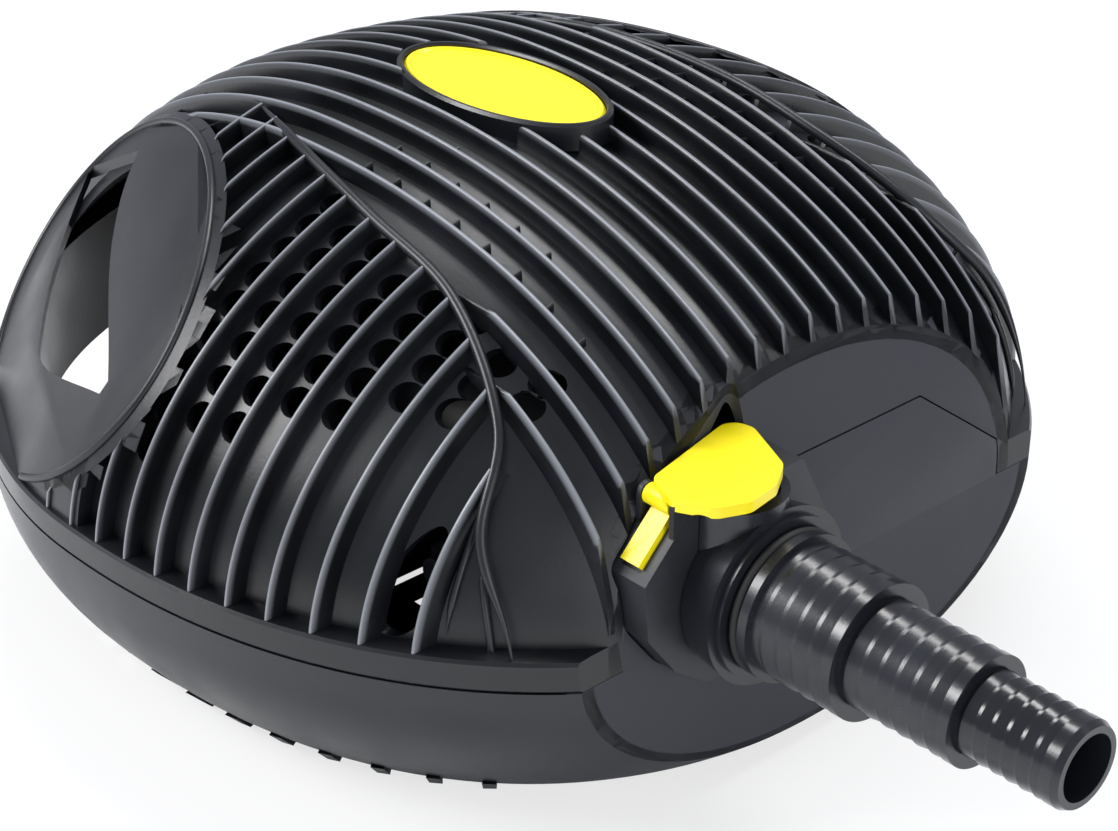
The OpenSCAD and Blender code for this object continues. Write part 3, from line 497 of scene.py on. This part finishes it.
# Black nylon of the pump inside, and the greyer nylon of its impeller and bushes
pump_plastic = moulded("pump_moulded_nylon", "#17181b", "#202226", 0.42)
wheel_plastic = moulded("impeller_nylon", "#3a404c", "#454c58", 0.40)
# Seals, feet and shaft mounts: nearly black and dull
black_rubber = moulded("black_nitrile_rubber", "#0c0c0d", "#141415", 0.62, 0.5, 0.15)
# Bright screws, darker core and reddish windings of the motor
screw_steel = metal("stainless_steel", "#a6a7aa", "#bfc0c2", 0.30)
core_steel = metal("laminated_core_steel", "#5b5d61", "#6f7176", 0.42)
coil_copper = metal("enamelled_copper", "#9a5530", "#b3683c", 0.36)
# Off-white glossy shaft and dull grey magnet
ceramic = moulded("aluminium_oxide_ceramic", "#dedcd4", "#ece9e2", 0.18)
ferrite = moulded("sintered_ferrite", "#202022", "#2b2b2d", 0.55)

# Cage skin: a shell between two domes, with staggered round holes and a leaf-shaped hole on each side
skin = shape(dome_solid("cage_skin", GROOVE, 1), [dome_solid("cut", GROOVE + WALL, 6)])
shape(skin, face_tools(0) + grip_tools(LAP))
leaves, holes = [], []
for side in SIDES:
    for k in range(-2, 8):
        low = 15 + 3.2 * max(k, 0) - 3 * min(k, 0)
        high = 54 - 1.2 * k if k >= 0 else 40 + 6 * k
        step = math.degrees(HOLE_PITCH / NEAR)
        start = np.array([RIB_START + (k + 0.5) * RIB_PITCH, 0, SEAM])
        for a in np.radians(np.arange(low + (k % 2) * step / 2, high, step)):
            way = np.array([0, side * math.cos(a), math.sin(a)])
            holes.append(rod("cut", start + 60 * way, start + 240 * way, HOLE_R, 20))
    turn, lean = full_turn(28), math.radians(LEAF_LEAN)
    c, s = math.cos(lean), math.sin(lean)
    across = LEAF_WIDE * np.cos(turn) * (1 - 0.25 * np.sin(turn))
    ring = np.stack([across, np.zeros(28), LEAF_TALL * np.sin(turn)], -1)
    ring = ring @ np.array([[c, 0, -s], [0, 1, 0], [s, 0, c]]) + [LEAF_X, 0, LEAF_Z]
    leaves.append(closed_rings("cut", [ring + [0, side * 30, 0], ring + [0, side * 220, 0]]))
shape(skin, [join("holes", holes)] + leaves)

# Oval inlay: station, half sizes and height
OVAL_X, OVAL_LONG, OVAL_WIDE, OVAL_Z = -16, 41, 20, 162.3
oval = full_turn(96)


def badge_ring(grow, z):
    """Outline of the oval inlay, grown all round, at a height."""
    x, y = OVAL_X + (OVAL_LONG + grow) * np.cos(oval), (OVAL_WIDE + grow) * np.sin(oval)
    return np.stack([x, y, np.full(96, z)], -1)


def badge_tool(grow, low, high):
    """Oval hole round the inlay."""
    return closed_rings("cut", [badge_ring(grow, low), badge_ring(grow, high)])


shape(skin, [badge_tool(0.3, 140, 200)] + cage_tools())
finish_mesh(skin)

# Front plate of the cage above the bib, whose outline is drawn across the body
BIB = np.array([[-170, 40], [-170, 93.8], [46.2, 93.8], [99.3, 53.3], [99.3, 40]])
BIB_GAP = 0.6


def bib_tool(drop):
    """Prism along the body over the bib's outline, lowered by a drop."""
    return closed_rings("cut", [np.c_[np.full(5, x), BIB - [0, drop]] for x in (60, 260)])


cage_face = face_plate(dome_solid("cage_face", GROOVE, 1))
shape(cage_face, [bib_tool(0)] + cage_tools())
finish_mesh(cage_face)

# Grip panels, bars and the walls inside the finger gaps; the bars keep to a region outside the gap
BAR_FRONT, BAR_SIDE, BAR_OUT, BAR_TOP = -27, 139.5, 317, SEAM + CROWN * 0.36
panels, bars = [], []
for side in SIDES:
    body = shape(dome_solid("panel", PANEL_INSET, 1), [grip_tool(side, 0), grip_tool(-side, 0)])
    shape(body, [shape(solid_copy(body), [grip_tool(side, WALL)])])
    shape(body, [clipped_gap(side, 30, 168), seam_floor()])
    panels.append(body)
    edge = smooth_line(SLOT_OUT, 40) * NEAR * [1, -side]
    region = np.concatenate([[[BAR_FRONT, side * BAR_SIDE]], edge,
                             [[-BAR_OUT, 0], [-BAR_OUT, side * BAR_OUT], [BAR_FRONT, side * BAR_OUT]]])
    bar = shape(dome_solid("bar", PANEL_INSET, 1), [prism("keep", region, 50, BAR_TOP)], "INTERSECT")
    shape(bar, [grip_tool(side, BAR_LAP), grip_tool(-side, BAR_LAP), clipped_gap(side, 30, 120), seam_floor()])
    bars.append(bar)
    room = shape(dome_solid("keep", 3, 1), grip_tools(1))
    bars.append(shape(inner_wall(side, CAGE_LOW, 170), [room], "INTERSECT"))
grips = finish_mesh(join("grip_panels", panels + bars), 38)

# Section of a blade at nine points across: shares of its height and of its half thickness
LEVELS = np.array([0.0, 0.72, 0.93, 0.99, 1.0, 0.99, 0.93, 0.72, 0.0])
ACROSS = np.array([-1.0, -0.86, -0.66, -0.36, 0.0, 0.36, 0.66, 0.86, 1.0])


def blade(name, root, top, half):
    """Round-topped blade: its section goes from the root line up to the top line and back."""
    rise = (top - root)[:, None] * LEVELS[None, :, None]
    return closed_rings(name, root[:, None] + rise + np.array(half)[None, None] * ACROSS[None, :, None])


def quarter(front, side, inset):
    """Reach, half width and power of the outline's quarter at the front or rear of a side."""
    power = (NEAR_POWER if side < 0 else FAR_POWER) if front else REAR_POWER
    return (FRONT if front else REAR) - inset, (NEAR if side < 0 else FAR) - inset, power


def long_half(y, front, inset):
    """Half length of the section at a distance from the middle plane."""
    a, b, n = quarter(front, y, inset)
    return a * (1 - (abs(y) / b) ** n) ** (1 / n)


def wide_half(x, side, inset):
    """Half width of the section at a station."""
    a, b, n = quarter(x > WIDEST, side, inset)
    return b * (1 - (abs(x - WIDEST) / a) ** n) ** (1 / n)


def long_line(y, angles, inset):
    """Section line at a distance from the middle plane, its station moved along by the cosine."""
    reach = np.where(np.cos(angles) > 0, long_half(y, True, inset), long_half(y, False, inset))
    x = WIDEST + reach * np.cos(angles)
    return np.stack([x, np.full(len(x), y), np.maximum(height(x, y, inset), SEAM + 0.5)], -1)


def wide_line(x, side, angles, inset):
    """Section line at a station on one side, its distance from the middle moved by the cosine."""
    y = side * wide_half(x, side, inset) * np.cos(angles)
    return np.stack([np.full(len(y), x), y, np.maximum(height(x, y, inset), SEAM + 0.5)], -1)


# Lengthwise ridges; the outer ones start short of the rear and rise over a short length
ridges = []
for k in range(LONG_RIDGES + len(OUTER_STARTS)):
    for side in SIDES:
        y = side * (k + 0.5) * RIDGE_PITCH
        start = math.pi if k < LONG_RIDGES else math.radians(OUTER_STARTS[k - LONG_RIDGES])
        angles = np.linspace(start, math.radians(8), 120)
        root, top = long_line(y, angles, ROOT), long_line(y, angles, TOP)
        if k >= LONG_RIDGES:
            fade = np.clip(np.linspace(0, 6, len(angles)), 0, 1)[:, None]
            top = root + (top - root) * fade
        ridges.append(blade("ridge", root, top, [0, RIDGE_HALF, 0]))
ridge = join("cage_ridges", ridges)

# Crease over each flank, as shares of the near half width
VINE = np.array([[-0.48, -0.32], [-0.22, -0.40], [0.06, -0.455], [0.31, -0.48],
                 [0.53, -0.565], [0.605, -0.67], [0.71, -0.68]])


def vine_y(x):
    """Distance of the crease from the middle plane at a station, as drawn by its points."""
    return np.interp(x, VINE[:, 0] * NEAR, -VINE[:, 1] * NEAR)


# Crosswise ribs from the crease down to the rim band
ribs = []
for k in range(-4, 9):
    for side in SIDES:
        x = RIB_START + k * RIB_PITCH
        top_angle = math.acos(min(vine_y(x) / wide_half(x, side, 0), 0.98))
        angles = np.linspace(0.0, top_angle, 60)
        root, top = wide_line(x, side, angles, ROOT), wide_line(x, side, angles, TOP)
        ribs.append(blade("rib", root, top, [RIB_HALF, 0, 0]))
# Short stubs across the grooves beyond the crease, each lower and shorter than the one before
for side in SIDES:
    for k in range(8):
        for j in range(3):
            x = RIB_START + (k + 0.4) * RIB_PITCH
            y = side * ((math.floor(vine_y(x) / RIDGE_PITCH - 0.5) - j + 0.5) * RIDGE_PITCH)
            if abs(y) > STUB_SIDE or x > STUB_FRONT:
                continue
            ys = y + side * np.linspace(-5.5, 0.5 - 1.2 * j, 8)
            root, top = [np.stack([np.full(8, x), ys, height(x, ys, d)], -1)
                         for d in (GROOVE + 1.2, 2.6 + 0.8 * j)]
            ribs.append(blade("stub", root, top, [STUB_HALF, 0, 0]))
rib = join("cage_ribs", ribs)


def painted_highlight_marks(thing):
    """Marks each vertex for the painted highlight by how near it lies to the outer dome: one on the top edges,
    nought below.
    """
    mesh = thing.data
    co = np.empty(len(mesh.vertices) * 3)
    mesh.vertices.foreach_get("co", co)
    p = co.reshape(-1, 3) * 1000 - MOVE
    x, y = p[:, 0], p[:, 1]
    depth = height(x, y) - p[:, 2]
    along, across = height(x - 0.5, y) - height(x + 0.5, y), height(x, y - 0.5) - height(x, y + 0.5)
    slope = (along ** 2 + across ** 2 + 1) ** 0.5
    # Share of the painted highlight: full near the outer dome, falling off with depth below it
    highlight_mark = np.clip(1 - (depth / slope - 0.15) / 0.6, 0, 1)
    mesh.attributes.new("edge", "FLOAT", "POINT").data.foreach_set("value", highlight_mark.astype(np.float32))


for thing in (ridge, rib):
    shape(thing, face_tools(0) + grip_tools(LAP))
    shape(thing, [badge_tool(2.4, 120, 220)] + cage_tools())
    painted_highlight_marks(thing)
    finish_mesh(thing, 40)


def tube(name, points, radius, cols=10):
    """Tube along points, its circle turned with the path; one radius, or one for each point."""
    p = np.asarray(points, float)
    w = np.gradient(p, axis=0)
    w /= np.linalg.norm(w, axis=1)[:, None]
    u = np.cross(w, [0, 0, 1.0])
    u /= np.linalg.norm(u, axis=1)[:, None]
    q = np.cross(w, u)
    t = full_turn(cols)
    c, s = np.cos(t)[None, :, None], np.sin(t)[None, :, None]
    r = np.asarray(radius, float).reshape(-1, 1, 1) if np.ndim(radius) else radius
    return closed_rings(name, p[:, None] + r * (u[:, None] * c + q[:, None] * s))


# Creases: a long curved bead over each flank, with two short branches
BRANCHES = [[[0.55, -0.585], [0.575, -0.67], [0.585, -0.735]],
            [[0.605, -0.67], [0.635, -0.685], [0.665, -0.69]]]
# For each line its points, their number when smoothed, its radius and its depth under the dome
CREASES = [(VINE, 80, 1.7, 1.3)] + [(branch, 24, 1.1, 5.0) for branch in BRANCHES]
veins = []
for side in SIDES:
    for points, count, r, inset in CREASES:
        line = smooth_line(points, count) * NEAR * [1, -side]
        z = height(line[:, 0], line[:, 1], inset)
        ends = np.clip(np.minimum(np.linspace(0, 8, count), np.linspace(8, 0, count)), 0.15, 1)
        veins.append(tube("vein", np.c_[line, z], r * ends))
crease = join("cage_creases", veins)
shape(crease, face_tools(0) + grip_tools(LAP))
shape(crease, cage_tools())
finish_mesh(crease, 50)

# Rim band above the seam: a stepped section of insets and heights, carried round the outline
BAND = [(8.6, CAGE_LOW), (0.35, CAGE_LOW), (0.0, CAGE_LOW + 0.6), (0.0, 64.6),
        (0.7, 65.6), (3.0, 65.9), (8.6, 65.9)]
turn = full_turn(240)
rows = [np.stack([*plan(turn, inset, 1.0), np.full(len(turn), z)], -1) for inset, z in BAND]
band = torus_rings("cage_band", rows)
shape(band, face_tools(0) + [clipped_gap(s, 30, 120) for s in SIDES] + [collar_tool()])
finish_mesh(band, 30)

# Lip round each grip panel: radius, sink under the plane, lowest height, and number of its points
LIP_R, LIP_SINK, LIP_LOW, LIP_POINTS = 1.25, 0.5, 66, 220


def grip_rim(side):
    """Edge of the plane's section of the dome: on each ray the farthest inner point, by halving."""
    n = grip_normal(side)
    u = np.cross([0, 0, 1.0], n)
    u /= np.linalg.norm(u)
    q = np.cross(n, u)
    centre = n * GRIP_CUT
    centre = centre + q * (95 - centre[2]) / q[2]
    phi = full_turn(LIP_POINTS)
    way = u * np.cos(phi)[:, None] + q * np.sin(phi)[:, None]
    low, high = np.zeros(LIP_POINTS), np.full(LIP_POINTS, 160.0)
    for _ in range(30):
        mid = (low + high) / 2
        p = centre + way * mid[:, None]
        inside = (p[:, 2] < height(p[:, 0], p[:, 1], 0.8)) & (p[:, 2] > LIP_LOW)
        low, high = np.where(inside, mid, low), np.where(inside, high, mid)
    rim = centre + way * low[:, None]
    rim = rim[rim[:, 2] > LIP_LOW + 0.3]
    if len(rim) < LIP_POINTS:
        start = int(np.argmax(np.linalg.norm(np.diff(rim, axis=0), axis=1))) + 1
        rim = np.roll(rim, -start, 0)
    return rim


lips = [tube("lip", grip_rim(side) - grip_normal(side) * LIP_SINK, LIP_R) for side in SIDES]
lip = finish_mesh(shape(join("grip_lips", lips), [seam_floor()]), 50)

# Base: bowl shell, cut away at the rear under the hood and open for the strainer plate
base = shape(bowl_solid("base_body", 0, BASE_LOW, 57), [bowl_solid("cut", WALL, 4.1, 58)])
shape(base, face_tools(0))
hood_cut = slab(-400, -CUT_HALF, -CUT_START, CUT_HALF, -5, 120)
tops = slab(-BEYOND, -BEYOND, BEYOND, BEYOND, BASE_TOP, BEYOND)
window = slab(-84, -58, 84, 58, -2, 12)
shape(base, [prism("cut", gap_outline(s), -5, 60) for s in SIDES] + [hood_cut, collar_tool(), tops, window])
finish_mesh(base)

# Front of the base: its face and the bib above it
base_face = shape(face_plate(bowl_solid("base_face", 0.05, BASE_LOW, 55.9)), [collar_tool()])
bib = face_plate(dome_solid("bib", GROOVE + WALL + 0.3, 8))
shape(bib, [bib_tool(BIB_GAP)], "INTERSECT")
shape(bib, [slab(60, -BEYOND, BEYOND, BEYOND, 20, 55.9), collar_tool(), pad_tool()])
front = finish_mesh(join("base_front", [base_face, bib]))

# Edge teeth under the near side, and the walls inside the finger gaps
TEETH, TOOTH_FIRST, TOOTH_STEP, TOOTH_HALF = 12, -112, 6.2, 2.0
# Lower and upper end of a tooth: share of the outline and height
TOOTH_ENDS = ((0.825, 0.2), (0.868, 7.6))
inner_walls = []
for side in SIDES:
    room = bowl_solid("keep", 0.2, BASE_LOW, 57)
    inner_walls.append(shape(inner_wall(side, BASE_LOW + 0.1, BASE_TOP), [room], "INTERSECT"))
teeth = []
for i in range(TEETH):
    t = math.radians(TOOTH_FIRST + i * TOOTH_STEP)
    w = np.array([-math.sin(t), math.cos(t), 0]) * TOOTH_HALF
    outer = [np.array([*plan(np.array(t), 0.0, r), z]) for r, z in TOOTH_ENDS]
    inner = [np.array([x * 0.9 + WIDEST * 0.1, y * 0.92, z]) for x, y, z in outer]
    teeth.append(closed_rings("tooth", [[a - w, a + w, b + w, b - w] for a, b in (outer, inner)]))
base_teeth = finish_mesh(join("base_teeth", teeth + inner_walls))

# Oval inlay: a flat bare face with a raised rounded rim, in a socket; growths and heights
INLAY = [(0, 0), (0.0, 2.4), (-0.8, 3.1), (-1.8, 3.1), (-2.6, 2.5), (-19.9, 2.6)]
SOCKET = [(0.25, 158), (0.25, 165.6), (0.8, 166.3), (1.7, 166.3), (2.5, 165.4), (2.6, 158)]
inlay = finish_mesh(closed_rings("badge_inlay", [badge_ring(g, OVAL_Z + z) for g, z in INLAY]), 30)
socket = finish_mesh(torus_rings("badge_socket", [badge_ring(g, z) for g, z in SOCKET]), 30)

# Finish of each new piece, its body, and the CAD node that it replaces, which is hidden
PLASTIC = {skin: cage_plastic, ridge: cage_plastic, rib: cage_plastic, crease: grip_plastic,
           band: cage_plastic, grips: grip_plastic, lip: grip_plastic, cage_face: face_plastic,
           base: base_plastic, front: face_plastic,
           base_teeth: base_plastic, inlay: yellow_abs, socket: cage_plastic}
for thing, material in PLASTIC.items():
    thing.data.materials.clear()
    thing.data.materials.append(material)
    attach(thing, "housing")
    if thing in (base, front, base_teeth):
        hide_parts("base_shell")
    elif thing is inlay:
        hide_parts("badge")
    else:
        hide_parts("top_cage")

NODE_LOOKS = {
    "strainer_plate": base_plastic, "plate_screws": screw_steel, "rubber_feet": black_rubber,
    "outlet_collar": collar_plastic, "outlet_neck": outlet_plastic, "hose_tail": outlet_plastic,
    "neck_seal": black_rubber, "spigot_seal": black_rubber,
    "release_lever": yellow_abs, "lever_pin": pump_plastic,
    "volute_housing": pump_plastic, "volute_cover": pump_plastic, "cover_seal": black_rubber,
    "front_shaft_mount": black_rubber, "ceramic_shaft": ceramic, "impeller": wheel_plastic,
    "rotor_magnet": ferrite, "rotor_bushes": wheel_plastic, "rotor_well": pump_plastic,
    "rear_shaft_mount": black_rubber, "well_seal": black_rubber, "motor_can": pump_plastic,
    "stator_core": core_steel, "stator_coils": coil_copper, "cable_gland": pump_plastic,
    "case_screws": screw_steel, "motor_cradle": base_plastic, "cage_latches": pump_plastic,
    "top_cage": cage_plastic, "base_shell": base_plastic, "badge": yellow_abs}
for name, material in NODE_LOOKS.items():
    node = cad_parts[name]
    node.data.materials.clear()
    node.data.materials.append(material)

# Moulded corners of the parts that show most, their widths in metres
for name, width in (("release_lever", 0.0007), ("outlet_collar", 0.0006)):
    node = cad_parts[name]
    weld = node.modifiers.new("weld", "WELD")
    weld.merge_threshold = 0.00001
    bevel = node.modifiers.new("corners", "BEVEL")
    bevel.width, bevel.segments = width, 2
    bevel.limit_method, bevel.angle_limit = "ANGLE", math.radians(30)
    bevel.harden_normals = True

# Floor: white paper, which glows a little for the camera alone, so that it stays white
bpy.ops.mesh.primitive_plane_add(size=12, location=(0, 0, -0.0002))
floor = bpy.context.object
floor.name = "pale_floor"
ground = bpy.data.materials.new("white_paper_floor")
ground.use_nodes = True
tree = ground.node_tree
tree.nodes.clear()
PAPER_GLOW = 0.72
ray = add(tree, "ShaderNodeLightPath")
paper = add(tree, "ShaderNodeBsdfDiffuse", in_Color=linear("#f4f4f4"))
glow = add(tree, "ShaderNodeEmission", in_Color=(1, 1, 1, 1), in_Strength=1.0)
share = add(tree, "ShaderNodeMath", [(0, ray.outputs["Is Camera Ray"])], operation="MULTIPLY")
share.inputs[1].default_value = PAPER_GLOW
blend = add(tree, "ShaderNodeMixShader", [(0, share.outputs[0]), (1, paper.outputs[0]), (2, glow.outputs[0])])
add(tree, "ShaderNodeOutputMaterial", [(0, blend.outputs[0])])
floor.data.materials.append(ground)
floor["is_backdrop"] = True

# World: dim and cool as a light, white for the camera
world = bpy.context.scene.world or bpy.data.worlds.new("studio")
bpy.context.scene.world = world
world.use_nodes = True
tree = world.node_tree
tree.nodes.clear()
ray = add(tree, "ShaderNodeLightPath")
dim = add(tree, "ShaderNodeBackground", in_Color=(0.86, 0.9, 1.0, 1), in_Strength=0.55)
white = add(tree, "ShaderNodeBackground", in_Color=(1, 1, 1, 1), in_Strength=1.0)
blend = add(tree, "ShaderNodeMixShader",
            [(0, ray.outputs["Is Camera Ray"]), (1, dim.outputs[0]), (2, white.outputs[0])])
add(tree, "ShaderNodeOutputWorld", [(0, blend.outputs[0])])


def lamp(name, place, target, size, power):
    """Soft rectangular lamp aimed at a point."""
    data = bpy.data.lights.new(name, "AREA")
    data.shape, data.size, data.size_y, data.energy = "RECTANGLE", size[0], size[1], power
    thing = linked(name, data)
    way = np.array(target, float) - np.array(place, float)
    thing.location = place
    thing.rotation_euler = Vector(way).to_track_quat("-Z", "Y").to_euler()


lamp("left_softbox", (-0.9, -1.1, 1.1), (0, 0, 0.06), (0.9, 0.5), 26)
lamp("top_strip", (-0.2, 0.5, 1.4), (0, 0, 0.1), (1.4, 0.25), 16)
lamp("front_fill", (1.5, -0.3, 0.5), (0.1, 0, 0.08), (0.7, 0.9), 9)

# Camera: fitted to the photo's angle and field
camera_data = bpy.data.cameras.new("camera")
camera_data.lens, camera_data.sensor_width = 80.485, 36.0
camera_data.clip_start = 0.01
camera = linked("camera", camera_data)
camera.location = (0.5002, -0.47685, 0.4457)
camera.rotation_euler = (math.radians(90 - 28.826), 0, math.radians(47.795))
bpy.context.scene.camera = camera
bpy.context.scene.view_settings.view_transform = "Standard"

low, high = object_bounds()
